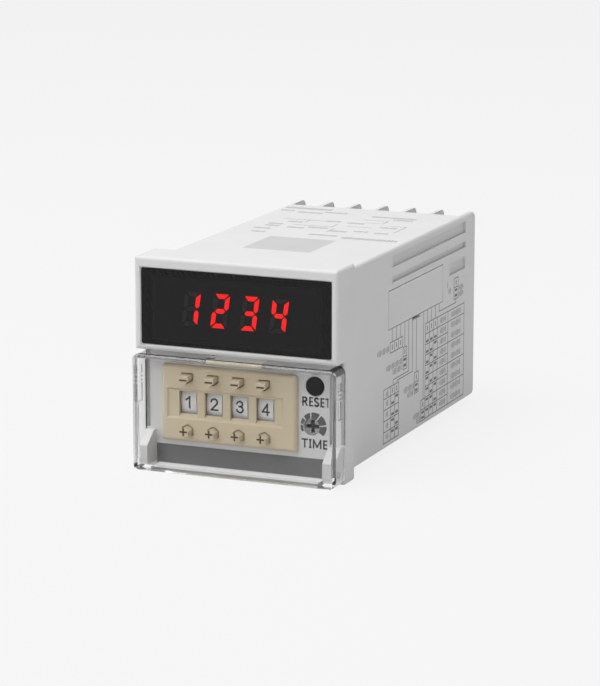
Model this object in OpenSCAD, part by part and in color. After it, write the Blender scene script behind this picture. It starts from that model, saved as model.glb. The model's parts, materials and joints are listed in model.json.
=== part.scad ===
// Preset panel counter: bezel with lit digits, push-wheel digit switch under a hinged clear cover,
// and a long case with two rows of screw terminals. Origin: centre of the flange's rear face,
// where it lies on the panel. +X right, +Y into the panel, +Z up.

/* [Panel format] */
// Width and height of the front flange
flange = 48; // [46:0.5:56]
// Width of the flange rim that lies against the panel
panel_rim = 1.5; // [1:0.1:1.9]
// Depth of the display block in front of the panel
display_depth = 9.4; // [8.5:0.1:12]
// Depth of the lower flange in front of the panel
plate_depth = 5; // [4.5:0.1:6]
// Height of the step under the display block, above the centre line
step_z = 3.2; // [2.5:0.1:4.5]
// Thickness of the bezel's front plate
plate_wall = 1.5; // [1.2:0.1:1.8]
// Rounding of the bezel's outer edges
bezel_round = 0.8; // [0.4:0.1:1.2]
// Length of the bezel's spigot inside the case
spigot_len = 4; // [3:0.5:5]

/* [Rear case] */
// Length of the case behind the panel, to the end of its top wall
case_len = 73.7; // [70:0.1:90]
// Wall thickness of the case
case_wall = 1.2; // [1:0.1:1.5]
// Length by which the side walls and barriers pass the top wall
guard_len = 8.3; // [7.5:0.1:11]
// Rounding of the case's long edges
case_round = 0.8; // [0.4:0.1:1]
// Depth of the shallow grooves in the side walls
groove_depth = 0.6; // [0.2:0.1:0.8]

/* [Display] */
// Margin between the flange's side and the window
window_side = 1.65; // [1.4:0.05:3]
// Margin above the window
window_top = 2.5; // [1.6:0.1:4]
// Margin below the window, from the step
window_low = 1.4; // [1.2:0.1:2.5]
// Thickness of the window
window_t = 0.8; // [0.6:0.1:1.2]
// Height of a lit digit
digit_h = 7.55; // [6:0.05:9.5]
// Width of a lit digit
digit_w = 3.75; // [3.2:0.05:4.8]
// Width of a segment's stroke
stroke = 1; // [0.8:0.05:1.3]
// Pitch of the lit digits
digit_pitch = 6.9; // [6:0.1:8]
// Lean of the digits, in degrees
digit_lean = 8; // [0:1:12]
// Distance of the digits' middle from the window's middle, to the left
digit_shift = 0.35; // [0:0.05:1]

/* [Digit switch] */
// Distance from the flange's left edge to the switch face
switch_inset = 5; // [4.6:0.1:6]
// Distance from the step down to the switch face
switch_drop = 3.4; // [3:0.1:4]
// Height of the switch face
switch_h = 17.2; // [16.8:0.1:18]
// Height of the switch face above the bezel's plate
switch_proud = 1.2; // [0.8:0.1:1.6]
// Rounding of the switch face's edges
switch_round = 0.9; // [0.4:0.1:1.1]
// Pitch of the digit wheels
wheel_pitch = 6.12; // [6:0.02:6.3]
// Distance of the wheels' middle from the switch face's middle, to the left
wheel_shift = 0.6; // [0.2:0.1:0.8]
// Width of the field for the reset button and dial, from the switch face to the flange's right edge
control_w = 10.84; // [10.6:0.02:12]
// Radius of a digit wheel
wheel_r = 6.6; // [6:0.1:6.8]
// Width of a digit wheel's rim
wheel_w = 3.6; // [3.4:0.1:4.4]
// Radius of the wheels' axle
axle_r = 1; // [0.8:0.1:1.3]
// Width of a viewing window
view_w = 4.35; // [3.6:0.05:4.6]
// Height of a viewing window
view_h = 5.5; // [4.5:0.1:6]

/* [Buttons] */
// Width of a plus or minus button
button_w = 2.25; // [1.8:0.05:2.6]
// Height of a plus or minus button
button_h = 2; // [1.6:0.1:2.1]
// Height of the buttons above the switch face
button_proud = 2.3; // [2:0.1:3]
// Travel of the plus and minus buttons
button_travel = 1; // [0.6:0.1:1.1]
// Distance of the buttons from the middle of the windows
button_reach = 5.75; // [5.6:0.05:5.9]
// Radius of the reset button
reset_r = 2.06; // [1.6:0.02:2.4]
// Travel of the reset button
reset_travel = 0.4; // [0.2:0.1:0.5]
// Radius of the time dial's knob
dial_r = 1.8; // [1.6:0.1:2.1]
// Depth of the time dial's face below the plate
dial_sink = 1; // [0.5:0.1:1.2]

/* [Clear cover] */
// Height of the cover's face in front of the display block
cover_proud = 2; // [1.5:0.1:3]
// Thickness of the cover's walls
cover_wall = 1.1; // [0.9:0.1:1.3]
// Rounding of the cover's front edges
cover_round = 1; // [0.5:0.1:1.2]
// Rounding of the cover's four corners, seen from the front
cover_corner = 1.8; // [1:0.1:2]
// Gap between the step and the cover's top
cover_top_gap = 0.6; // [0.5:0.1:1]
// Distance of the hinge axis from the cover's lower and rear edges
hinge_reach = 2.7; // [2.5:0.1:2.8]
// Radius of the hinge pins
hinge_pin_r = 0.7; // [0.6:0.05:0.8]
// Thickness of the hinge lugs
lug_t = 2; // [1.6:0.1:2.2]
// Width of the finger notch in the cover's top
notch_w = 13.2; // [10:0.2:16]

/* [Terminals] */
// Radius of the terminal screws' thread
screw_r = 1.5; // [1.2:0.1:1.6]
// Radius of the terminal screws' heads
head_r = 2.6; // [2.2:0.1:2.8]
// Thickness of the barriers between the terminals
barrier_t = 1; // [0.8:0.1:1.1]

/* [Hidden] */
$fn = 64;
over = 1;          // overshoot of every cut
slack = 0.1;       // gap round pieces that are pushed together
play = 0.3;        // gap round pieces that move
running = 0.05;    // radial clearance of pins and shafts
light_grey = "#dcdcdc";
beige = "#b9ad97";
board_green = "#2f6b45";

half = flange / 2;
case_half = half - panel_rim;
case_in = case_half - case_wall;
case_end = case_len + guard_len;
plate_y = -plate_depth;
plate_in = plate_y + plate_wall;
display_y = -display_depth;
spigot_half = case_in - 2 * slack;
cavity_half = spigot_half - case_wall;
rebate = 0.4;      // depth to which the case's front end sits in the flange

window_x = half - window_side;
window_z0 = step_z + window_low;
window_z1 = half - window_top;
window_z = (window_z0 + window_z1) / 2;
window_y = display_y + slack / 2;
window_back = window_y + window_t;
ledge = 1;
bevel = 0.3;

board_t = 1.6;
board_y = -0.6;
board_half = cavity_half - 2 * slack;
module_x = board_half - 0.4;
module_y = window_back + slack;
module_z0 = window_z0 + ledge + slack;
module_z1 = cavity_half - play;
segment_depth = 0.4;

wheel_count = 4;
switch_x0 = -half + switch_inset;
switch_x1 = half - control_w;
switch_z1 = step_z - switch_drop;
switch_z0 = switch_z1 - switch_h;
switch_z = (switch_z0 + switch_z1) / 2;
switch_y = plate_y - switch_proud;
face_wall = 1.2;
recess_depth = 0.4;
recess_side = 1.35;
recess_right = 3.05;
recess_h = 6.8;
sill_rise = 0.35;
sill_drop = 0.95;
view_z0 = switch_z - view_h / 2 + sill_rise;
view_z1 = switch_z + view_h / 2;
pocket_y = switch_y + face_wall;
button_gap = 0.25;
pocket_half = max(wheel_r + play, button_reach + button_h / 2 + button_gap);
pocket_wall = 0.8;
frame_half = pocket_half + pocket_wall;
frame_end = 0.8;
wheel_gap = 0.5;
wheel_y = pocket_y + wheel_gap + wheel_r;
frame_tail = 2.8;
frame_back = wheel_y + wheel_r + frame_tail;
pawl_t = 0.45;
rim_x0 = -view_w / 2 - slack / 2;
rim_x1 = rim_x0 + wheel_w;
lane_x1 = rim_x1 + pawl_t + 2 * play;
ratchet_r = 4;
ratchet_t = 0.9;
ratchet_teeth = 10;
pawl_x0 = rim_x1 + play;
nose_u = ratchet_r + play;

button_y = switch_y - button_proud;
collar_y = pocket_y + running;
collar_t = 0.6;
roof = 0.85;
hole_gap = 0.12;

control_x0 = switch_x1 + 0.8;
trimmer_half = 2.75;
trimmer_y = plate_in + 1;
dial_x = cavity_half - trimmer_half - 1;
dial_z = switch_z - 2.78;
dial_y = plate_y + dial_sink;
reset_x = dial_x + 0.9;
reset_z = switch_z1 - 2.25;
shaft_r = 1.2;
tact_half = 3;
board_low = dial_z - trimmer_half - 4.4;
tact_y = plate_in + 1.3;

cover_y = display_y - cover_proud;
cover_in_y = cover_y + cover_wall;
cover_rear = plate_y - 2 * slack;
cover_top = step_z - cover_top_gap;
cover_low = -half + play;
cover_in_x = half - cover_wall + slack;
cover_fillet = 0.7;
hinge_y = cover_rear - hinge_reach;
hinge_z = cover_low + hinge_reach;
lug_x1 = cover_in_x - 0.25;
lug_x0 = lug_x1 - lug_t;
lug_front = cover_in_y + play;
lug_reach = hinge_y - lug_front;
lug_ring = hinge_pin_r + running + 0.75;
pin_x0 = lug_x1 - 0.6 * lug_t;
lug_top = hinge_z + 5.7;
lug_shelf = plate_y - 1.6;
lug_slant = hinge_z + 2.9;
trench_x0 = cover_in_x - 0.8;
trench_x1 = cover_in_x + 0.3;
trench_depth = 1.2;
grip_depth = 0.3;
grip_y0 = cover_y + 2.2;
grip_y1 = cover_rear - 1.6;
grip_drop = 3.1;
grip_len = 8.2;
grip_z1 = cover_top - grip_drop;
grip_z0 = grip_z1 - grip_len;
grip_rib = 0.4;
grip_ribs = 3;

rib_t = 0.9;
rib_h = 1.5;
rib_y0 = spigot_len + 1;
main_x0 = switch_x1 + 0.4;
main_x1 = main_x0 + board_t;
block_len = 6;
main_back = case_len - block_len - 0.7;
main_z = case_in - 2 * slack;
power_z0 = -case_in + 4.3;
power_z1 = power_z0 + board_t;
power_y0 = frame_back + 3.2;

block_y = case_len - block_len;
boss_z = 0.4 * case_half;
boss_len = 6.8;
boss_y = case_len + boss_len;
bay_count = 6;
bay_pitch = 2 * case_in / bay_count;
bay_z = (boss_z + case_half) / 2;
tag_t = 0.8;
tag_w = bay_pitch - barrier_t - 0.5;
tag_z0 = boss_z + 1.6;
tag_reach = 4.8;
tag_z1 = bay_z + tag_reach;
washer_t = 0.7;
head_t = 2;
screw_len = 6;
tail_w = 3;
tail_len = 1.2;

selector_count = 10;
selector_pitch = 2.54;
selector_back = 31.55;
selector_drop = 13.6;
selector_sink = 1.7;
selector_end = 0.8;
selector_y = case_len - selector_back;
selector_z = case_half - selector_drop;
selector_x1 = case_in - selector_sink;
lever_travel = 2;
lever_w = 1.1;
lever_h = 1.3;
lever_slot_h = lever_travel + lever_h + 2 * 0.15;
plate_half_y = 17.75;
plate_half_z = 4.5;
plate_t = 0.6;
plate_gap = 0.2;
selector_half_y = selector_count * selector_pitch / 2 + selector_end;
selector_half_z = plate_half_z - ledge;

// Straight block between two corners
module block(low, high) {
    translate(low) cube(high - low);
}

// Flat outline in X and Z drawn out along Y
module along_y(y0, y1) {
    translate([0, y1, 0]) rotate([90, 0, 0]) linear_extrude(y1 - y0) children();
}

// Flat outline in Y and Z drawn out along X
module along_x(x0, x1) {
    translate([x0, 0, 0]) rotate([90, 0, 90]) linear_extrude(x1 - x0) children();
}

// Flat outline in X and Y drawn out along Z
module along_z(z0, z1) {
    translate([0, 0, z0]) linear_extrude(z1 - z0) children();
}

// Round bar or bore along Y
module rod_y(r, y0, y1, x, z) {
    translate([x, y1, z]) rotate([90, 0, 0]) cylinder(r = r, h = y1 - y0);
}

// Round bar or bore along X
module rod_x(r, x0, x1, y, z) {
    translate([x0, y, z]) rotate([0, 90, 0]) cylinder(r = r, h = x1 - x0);
}

// Flat rectangle with four round corners
module soft_rect(low, high, r) {
    translate([low[0] + r, low[1]]) square([high[0] - low[0] - 2 * r, high[1] - low[1]]);
    translate([low[0], low[1] + r]) square([high[0] - low[0], high[1] - low[1] - 2 * r]);
    for (x = [low[0] + r, high[0] - r], y = [low[1] + r, high[1] - r])
        translate([x, y]) circle(r = r);
}

// Moulded block with soft front edges and soft edges along Y
module soft_block(low, high, r) {
    intersection() {
        along_y(low[1], high[1]) soft_rect([low[0], low[2]], [high[0], high[2]], r);
        along_x(low[0], high[0]) soft_rect([low[1], low[2]], [high[1] + 2 * r, high[2]], r);
        along_z(low[2], high[2]) soft_rect([low[0], low[1]], [high[0], high[1] + 2 * r], r);
    }
}

// Children at both sides of the middle plane
module both_sides() {
    children();
    mirror([1, 0, 0]) children();
}

// Centre of a digit wheel, counted from the left
function wheel_x(i) = (switch_x0 + switch_x1) / 2 - wheel_shift
    + (i - (wheel_count - 1) / 2) * wheel_pitch;

// Centre of a terminal bay, counted from the left
function bay_x(i) = (i - (bay_count - 1) / 2) * bay_pitch;

// Places of the twelve terminals, one row on each side of the centre boss
module terminals() {
    for (side = [0, 1]) mirror([0, 0, side])
        for (i = [0 : bay_count - 1]) translate([bay_x(i), 0, 0]) children();
}

// Side wall outline, with its rear corners rounded
module wall_outline() {
    guard_round = 1.8;
    intersection() {
        soft_rect([-2 * guard_round, -case_half], [case_end, case_half], guard_round);
        translate([-rebate, -case_half]) square([case_end + rebate, 2 * case_half]);
    }
}

// Shallow grooves of a side wall: long rails above, a short field behind
module side_grooves() {
    rail_y0 = 26.7;
    rail_y1 = case_len + 1.8;
    field_len = 11.1;
    starts = [rail_y0, rail_y0, rail_y1 - field_len];
    tops = [1.5, 6.2, 9.9];
    heights = [2.7, 1.5, 2.9];
    floor_x = case_half - groove_depth;
    for (k = [0 : 2])
        block([floor_x, starts[k], case_half - tops[k] - heights[k]], [half, rail_y1, case_half - tops[k]]);
}

// Opening of the selector in the right wall, with its rebate and the slot for prying its cover off
module selector_opening() {
    pry_half = 2.4;
    pry_h = 0.6;
    block([case_in - over, selector_y - plate_half_y + ledge, selector_z - plate_half_z + ledge],
          [half, selector_y + plate_half_y - ledge, selector_z + plate_half_z - ledge]);
    block([case_half - plate_t, selector_y - plate_half_y, selector_z - plate_half_z],
          [half, selector_y + plate_half_y, selector_z + plate_half_z]);
    block([case_in - over, selector_y - pry_half, selector_z - plate_half_z - pry_h],
          [half, selector_y + pry_half, selector_z - plate_half_z]);
}

// Rails that hold the edges of the two boards
module board_rails() {
    for (x = [main_x0 - slack - rib_t, main_x1 + slack], z = [-case_in - slack, case_in - rib_h])
        block([x, rib_y0, z], [x + rib_t, main_back, z + rib_h + slack]);
    for (z = [power_z0 - slack - rib_t, power_z1 + slack])
        block([-case_in - slack, power_y0, z], [-case_in + rib_h, main_back, z + rib_t]);
}

module rear_case() {
    color(light_grey) difference() {
        union() {
            difference() {
                union() {
                    along_y(-rebate, case_len)
                        soft_rect([-case_half, -case_half], [case_half, case_half], case_round);
                    intersection() {
                        along_y(-rebate, case_end)
                            soft_rect([-case_half, -case_half], [case_half, case_half], case_round);
                        along_x(-case_half, case_half) wall_outline();
                    }
                }
                block([-case_in, -over, -case_in], [case_in, case_end + over, case_in]);
                block([-case_in, case_len, -half], [case_in, case_end + over, half]);
            }
            board_rails();
        }
        both_sides() side_grooves();
        selector_opening();
    }
}

// Window edge of the bezel, broken by a small bevel
module window_bevel() {
    for (side = [0, 1]) mirror([side, 0, 0])
        along_z(window_z0 - bevel, window_z1 + bevel)
            polygon([[window_x - over, display_y - over], [window_x + bevel + over, display_y - over],
                     [window_x, display_y + bevel], [window_x - over, display_y + bevel]]);
    along_x(-window_x - bevel, window_x + bevel) {
        polygon([[display_y - over, window_z1 - over], [display_y - over, window_z1 + bevel + over],
                 [display_y + bevel, window_z1], [display_y + bevel, window_z1 - over]]);
        polygon([[display_y - over, window_z0 + over], [display_y - over, window_z0 - bevel - over],
                 [display_y + bevel, window_z0], [display_y + bevel, window_z0 + over]]);
    }
}

// Hinge lug: a slanted bracket with a round nose about the hinge axis
module hinge_lug() {
    difference() {
        along_x(lug_x0, lug_x1) {
            polygon([[plate_y + slack, hinge_z], [plate_y + slack, lug_top], [lug_shelf, lug_top],
                     [lug_front, lug_slant], [lug_front, hinge_z]]);
            intersection() {
                translate([lug_front, hinge_z - lug_ring])
                    square([plate_y + slack - lug_front, lug_ring]);
                union() {
                    translate([hinge_y, hinge_z]) circle(r = lug_reach);
                    translate([hinge_y, hinge_z - lug_ring])
                        square([plate_y + slack - hinge_y, lug_ring]);
                }
            }
        }
        rod_x(hinge_pin_r + running, pin_x0 - slack, lug_x1 + over, hinge_y, hinge_z);
    }
}

// Groove beside the lower plate, under the inner edge of the closed cover's side wall
module side_trench() {
    block([trench_x0, plate_y - slack, lug_top + play],
          [trench_x1, plate_y + trench_depth, step_z]);
}

module front_bezel() {
    post_r = 1;
    rebate_half = case_half + slack / 2;
    color(light_grey) difference() {
        union() {
            difference() {
                union() {
                    difference() {
                        union() {
                            soft_block([-half, display_y, step_z], [half, 0, half], bezel_round);
                            soft_block([-half, plate_y, -half], [half, 0, window_z0], bezel_round);
                        }
                        along_y(-rebate, over)
                            soft_rect([-rebate_half, -rebate_half], [rebate_half, rebate_half], case_round);
                    }
                    block([-spigot_half, -over, -spigot_half], [spigot_half, spigot_len, spigot_half]);
                }
                block([-cavity_half, plate_in, -cavity_half],
                      [cavity_half, spigot_len + over, cavity_half]);
                block([-cavity_half, window_back - slack, window_z0 + ledge],
                      [cavity_half, spigot_len + over, cavity_half]);
            }
            both_sides() hinge_lug();
            for (z = [reset_z - tact_half - 1.6, dial_z - trimmer_half - 2])
                rod_y(post_r, plate_in - slack, board_y, dial_x, z);
        }
        along_y(display_y - over, window_back)
            soft_rect([-window_x, window_z0], [window_x, window_z1], bevel);
        window_bevel();
        block([switch_x0 + frame_end - slack, plate_y - over, switch_z - frame_half - slack],
              [switch_x1 - frame_end + slack, plate_in + over, switch_z + frame_half + slack]);
        both_sides() side_trench();
        rod_y(reset_r + hole_gap, plate_y - over, plate_in + over, reset_x, reset_z);
        rod_y(dial_r + hole_gap, plate_y - over, plate_in + over, dial_x, dial_z);
    }
}

module display_window() {
    color("#2a2a2c") along_y(window_y, window_back)
        soft_rect([-window_x + slack / 2, window_z0 + slack / 2],
                  [window_x - slack / 2, window_z1 - slack / 2], bevel);
}

// Outlines of the chosen segments of one digit, named a to g clockwise from the top and then the middle
module digit_segments(names) {
    gap = 0.2;
    tip = 0.35;
    x1 = digit_w / 2;
    x0 = x1 - stroke;
    z1 = digit_h / 2;
    z0 = z1 - stroke;
    mid = stroke / 2;
    lying = [[-x1 + tip, z1], [x1 - tip, z1], [x0 - gap, z0], [-x0 + gap, z0]];
    standing = [[x1, z1 - tip], [x1, mid + gap], [x1 - mid, gap], [x0, mid + gap], [x0, z0 - gap]];
    middle = [[-x1 + mid + gap, 0], [-x0 + gap, mid], [x0 - gap, mid],
              [x1 - mid - gap, 0], [x0 - gap, -mid], [-x0 + gap, -mid]];
    places = [["a", lying, 1, 1], ["b", standing, 1, 1], ["c", standing, 1, -1], ["d", lying, 1, -1],
              ["e", standing, -1, -1], ["f", standing, -1, 1], ["g", middle, 1, 1]];
    multmatrix([[1, tan(digit_lean), 0, 0], [0, 1, 0, 0], [0, 0, 1, 0], [0, 0, 0, 1]])
        for (place = places) if (len(search(place[0], names)) > 0)
            scale([place[2], place[3]]) polygon(place[1]);
}

// Segments of the four digits, from a list of names for each digit
module display_segments(lists) {
    for (i = [0 : wheel_count - 1])
        translate([(i - (wheel_count - 1) / 2) * digit_pitch - digit_shift, window_z])
            digit_segments(lists[i]);
}

lit_names = ["bc", "abged", "abgcd", "fgbc"];
dark_names = ["adefg", "cf", "ef", "ade"];

module display_module() {
    color("#1b1b1d") difference() {
        block([-module_x, module_y, module_z0], [module_x, board_y, module_z1]);
        along_y(module_y - over, module_y + segment_depth) {
            display_segments(lit_names);
            display_segments(dark_names);
        }
    }
}

module lit_segments() {
    color("#ff2222") along_y(module_y, module_y + segment_depth) display_segments(lit_names);
}

module dark_segments() {
    color("#313131") along_y(module_y, module_y + segment_depth) display_segments(dark_names);
}

module display_board() {
    color(board_green) along_y(board_y, board_y + board_t)
        polygon([[-board_half, step_z + 1], [-board_half, board_half], [board_half, board_half],
                 [board_half, board_low], [control_x0, board_low], [control_x0, step_z + 1]]);
}

// Outline of a plus or minus button: flat outside, pointed towards its window
module button_outline(grow) {
    x = button_w / 2 + grow;
    z = button_h / 2 + grow;
    polygon([[-x, z], [x, z], [x, -z + roof], [0, -z], [-x, -z + roof]]);
}

// Places its children at one button of a wheel: side 0 is above the window, side 1 below it
module at_button(i, side) {
    translate([wheel_x(i), 0, switch_z]) mirror([0, 0, side]) children();
}

// Shallow field round the windows, with sloped edges
module window_field() {
    x0 = switch_x0 + recess_side;
    x1 = switch_x1 - recess_right;
    z0 = switch_z - recess_h / 2;
    z1 = switch_z + recess_h / 2;
    front = switch_y - over;
    floor_y = switch_y + recess_depth;
    intersection() {
        along_z(z0 - 2 * over, z1 + 2 * over)
            polygon([[x0 - over, front], [x1 + over, front],
                     [x1 - recess_depth, floor_y], [x0 + recess_depth, floor_y]]);
        along_x(x0 - 2 * over, x1 + 2 * over)
            polygon([[front, z0 - over], [front, z1 + over],
                     [floor_y, z1 - recess_depth], [floor_y, z0 + recess_depth]]);
    }
}

// Sloped lower edge of a viewing window
module window_sill() {
    polygon([[switch_y, view_z0 + slack], [switch_y, view_z0 - sill_drop],
             [pocket_y, view_z0], [pocket_y, view_z0 + slack]]);
}

module switch_frame() {
    color(beige) difference() {
        union() {
            soft_block([switch_x0, switch_y, switch_z0], [switch_x1, plate_y, switch_z1], switch_round);
            block([switch_x0 + frame_end, plate_y - slack, switch_z - frame_half],
                  [switch_x1 - frame_end, frame_back, switch_z + frame_half]);
        }
        window_field();
        for (i = [0 : wheel_count - 1]) {
            block([wheel_x(i) + rim_x0 - 2 * slack, pocket_y, switch_z - pocket_half],
                  [wheel_x(i) + lane_x1, frame_back + over, switch_z + pocket_half]);
            block([wheel_x(i) - view_w / 2, switch_y - over, view_z0],
                  [wheel_x(i) + view_w / 2, pocket_y + over, view_z1]);
            along_x(wheel_x(i) - view_w / 2, wheel_x(i) + view_w / 2) window_sill();
            for (side = [0, 1]) at_button(i, side)
                along_y(switch_y - over, pocket_y + over)
                    translate([0, button_reach]) button_outline(button_gap);
        }
        rod_x(axle_r + running / 2, switch_x0, switch_x1, wheel_y, switch_z);
    }
}

module wheel_axle() {
    color("#b8b8bc")
        rod_x(axle_r, switch_x0 + frame_end, switch_x1 - frame_end, wheel_y, switch_z);
}

module switch_board() {
    color(board_green)
        block([switch_x0 + frame_end, frame_back, switch_z - frame_half],
              [switch_x1 - frame_end, frame_back + board_t, switch_z + frame_half]);
}

// Digit wheel: a hollow rim on a web and hub, with a toothed ratchet beside it
module digit_wheel(i) {
    rim_t = 1.1;
    web_t = 0.8;
    hub_r = axle_r + 1.3;
    hub_x1 = rim_x1 + ratchet_t;
    color("#e2e2e4") translate([wheel_x(i), wheel_y, switch_z]) rotate([0, 90, 0]) difference() {
        union() {
            rotate_extrude() polygon([[0, rim_x0], [hub_r, rim_x0], [hub_r, rim_x1 - web_t],
                [wheel_r - rim_t, rim_x1 - web_t], [wheel_r - rim_t, rim_x0],
                [wheel_r, rim_x0], [wheel_r, rim_x1], [hub_r, rim_x1], [hub_r, hub_x1], [0, hub_x1]]);
            translate([0, 0, rim_x1 - web_t / 2]) linear_extrude(ratchet_t + web_t / 2)
                polygon([for (k = [0 : 2 * ratchet_teeth - 1])
                    let (r = k % 2 == 0 ? ratchet_r : ratchet_r - 0.7, a = k * 180 / ratchet_teeth)
                    [r * cos(a), r * sin(a)]]);
        }
        translate([0, 0, rim_x0 - over]) cylinder(r = axle_r + running, h = hub_x1 - rim_x0 + 2 * over);
    }
}

// Plus or minus button: a pointed cap, a collar behind the face and a pawl that reaches to the ratchet
module push_button(i, side) {
    pawl_low = button_reach - button_h / 2;
    nose_y = wheel_y - button_travel / 2;
    color(beige) at_button(i, side) {
        along_y(button_y, collar_y + collar_t) translate([0, button_reach]) button_outline(0);
        block([-button_w / 2 - 0.4, collar_y, pawl_low - 0.3],
              [pawl_x0 + pawl_t, collar_y + collar_t, button_reach + button_h / 2]);
        along_x(pawl_x0, pawl_x0 + pawl_t)
            polygon([[collar_y, pawl_low - 0.3], [collar_y, pawl_low + 0.9],
                     [nose_y, nose_u + 0.8], [nose_y + 0.4, nose_u + 0.6], [nose_y + 0.4, nose_u],
                     [nose_y, nose_u], [nose_y - 0.6, nose_u + 0.3]]);
    }
}

module reset_button() {
    crown = 0.25;
    flange_t = 0.5;
    color("#2e2e2e") {
        rod_y(reset_r, plate_y - crown, plate_in + slack, reset_x, reset_z);
        rod_y(reset_r + 0.5, plate_in + running, plate_in + running + flange_t, reset_x, reset_z);
    }
}

module reset_switch() {
    plunger_r = 1.2;
    color("#3a3a3c") {
        block([reset_x - tact_half, tact_y, reset_z - tact_half],
              [reset_x + tact_half - 0.4, board_y, reset_z + tact_half]);
        rod_y(plunger_r, tact_y - 0.2, tact_y + slack, reset_x, reset_z);
    }
}

module time_dial() {
    slot_w = 0.9;
    slot_half = 1.5;
    slot_depth = 0.6;
    color("#c9c9cb") difference() {
        union() {
            rod_y(dial_r, dial_y, trimmer_y - play, dial_x, dial_z);
            rod_y(shaft_r, trimmer_y - play - slack, board_y - 2 * play, dial_x, dial_z);
        }
        for (arm = [[slot_half, slot_w / 2], [slot_w / 2, slot_half]])
            block([dial_x - arm[0], dial_y - over, dial_z - arm[1]],
                  [dial_x + arm[0], dial_y + slot_depth, dial_z + arm[1]]);
    }
}

module trimmer_body() {
    color("#35507a") difference() {
        block([dial_x - trimmer_half, trimmer_y, dial_z - trimmer_half],
              [dial_x + trimmer_half, board_y, dial_z + trimmer_half]);
        rod_y(shaft_r + running, trimmer_y - over, board_y - play, dial_x, dial_z);
    }
}

// Side outline of the clear cover: soft front corners, lower rear corner round about the hinge
module cover_outline() {
    difference() {
        soft_rect([cover_y, cover_low], [cover_rear, cover_top], cover_round);
        difference() {
            translate([hinge_y, cover_low - over]) square([hinge_reach + over, hinge_reach + over]);
            translate([hinge_y, hinge_z]) circle(r = hinge_reach);
        }
    }
    translate([hinge_y, cover_top - cover_round]) square([hinge_reach, cover_round]);
}

// Shallow finger grip in a side wall of the cover, with a few ribs left standing
module finger_grip() {
    rib_pitch = 2.2 * grip_rib;
    rib_z = (grip_z0 + grip_z1) / 2;
    difference() {
        block([half - grip_depth, grip_y0, grip_z0], [half + over, grip_y1, grip_z1]);
        for (k = [0 : grip_ribs - 1])
            translate([0, 0, rib_z + k * rib_pitch])
                block([half - 2 * grip_depth, grip_y0 - over, 0], [half, grip_y1 + over, grip_rib]);
    }
}

module front_cover() {
    color("#e8eef0", 0.35) {
        difference() {
            intersection() {
                along_x(-half, half) cover_outline();
                along_z(cover_low, cover_top)
                    soft_rect([-half, cover_y], [half, cover_rear + 2 * cover_round], cover_round);
                along_y(cover_y, cover_rear)
                    soft_rect([-half, cover_low], [half, cover_top], cover_corner);
            }
            along_z(cover_low + cover_wall, cover_top - cover_wall)
                soft_rect([-cover_in_x, cover_in_y], [cover_in_x, cover_rear + 2 * cover_fillet],
                          cover_fillet);
            both_sides() block([lug_x0 - 1, cover_in_y, cover_low - over],
                               [cover_in_x, cover_rear + over, hinge_z]);
            block([-notch_w / 2, cover_in_y, 0], [notch_w / 2, cover_rear + over, cover_top + over]);
            both_sides() finger_grip();
        }
        both_sides() rod_x(hinge_pin_r, pin_x0, cover_in_x + slack, hinge_y, hinge_z);
    }
}

module main_board() {
    step_y = rib_y0 - slack;
    color(board_green) along_x(main_x0, main_x1)
        polygon([[board_y + board_t + slack, -board_half], [step_y, -board_half], [step_y, -main_z],
                 [main_back, -main_z], [main_back, main_z], [step_y, main_z],
                 [step_y, board_half], [board_y + board_t + slack, board_half]]);
}

module board_header() {
    header_t = 2.5;
    header_half = 10;
    color("#242426")
        block([main_x1, board_y + board_t, -header_half], [main_x1 + header_t, spigot_len, header_half]);
}

// Processor on the main board, opposite the selector
chip_half = 6;
chip_t = 1.4;
chip_drop = 0.9;

module processor_chip() {
    chip_z = selector_z - chip_drop;
    color("#202022")
        block([main_x0 - chip_t, selector_y - 2 * chip_half, chip_z - chip_half],
              [main_x0, selector_y, chip_z + chip_half]);
}

module power_board() {
    color(board_green)
        block([-case_in + 2 * slack, power_y0, power_z0], [main_x0 - slack, main_back, power_z1]);
}

// Transformer: laminated core of two windows, standing on the power board
core_x0 = -case_in + 2.3;
core_w = 20;
core_t = 12;
core_h = 17;
core_limb = 3.3;
core_y1 = main_back - 5;
bobbin_flare = 3.5;

module transformer_core() {
    low = [core_x0, core_y1 - core_t, power_z1];
    opening_w = (core_w - 4 * core_limb) / 2;
    color("#6b6d70") difference() {
        block(low, low + [core_w, core_t, core_h]);
        for (x = [core_limb, core_w - core_limb - opening_w])
            block(low + [x, -over, core_limb], low + [x + opening_w, core_t + over, core_h - core_limb]);
    }
}

module transformer_bobbin() {
    limb_x0 = core_x0 + (core_w - 2 * core_limb) / 2;
    low = [core_x0 + core_limb + slack, core_y1 - core_t - bobbin_flare, power_z1 + core_limb + slack];
    high = [core_x0 + core_w - core_limb - slack, core_y1 + bobbin_flare,
            power_z1 + core_h - core_limb - slack];
    color("#c9a93c") difference() {
        block(low, high);
        block([limb_x0 - slack, core_y1 - core_t - slack, power_z1],
              [limb_x0 + 2 * core_limb + slack, core_y1 + slack, power_z1 + core_h]);
    }
}

module relay() {
    relay_w = 9.6;
    relay_len = 19;
    relay_h = 15.3;
    relay_x1 = main_x0 - chip_t - 0.6;
    relay_y1 = core_y1 - core_t - bobbin_flare - 0.5;
    color("#3b6ea5")
        block([relay_x1 - relay_w, relay_y1 - relay_len, power_z1],
              [relay_x1, relay_y1, power_z1 + relay_h]);
}

// Capacitors of the mains supply: place along X, radius and height of each can
can_x = [6, 17];
can_r = [5, 4];
can_h = [13, 11];
can_y = 7;
can_crimp = 0.4;

module capacitors() {
    color("#33363c") for (i = [0, 1])
        translate([core_x0 + can_x[i], power_y0 + can_y, power_z1]) {
            cylinder(r = can_r[i], h = can_h[i]);
            cylinder(r = can_r[i] - can_crimp, h = can_h[i] + can_crimp);
        }
}

// Centre of a selector lever along the case
function lever_y(i) = selector_y + (i - (selector_count - 1) / 2) * selector_pitch;

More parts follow.
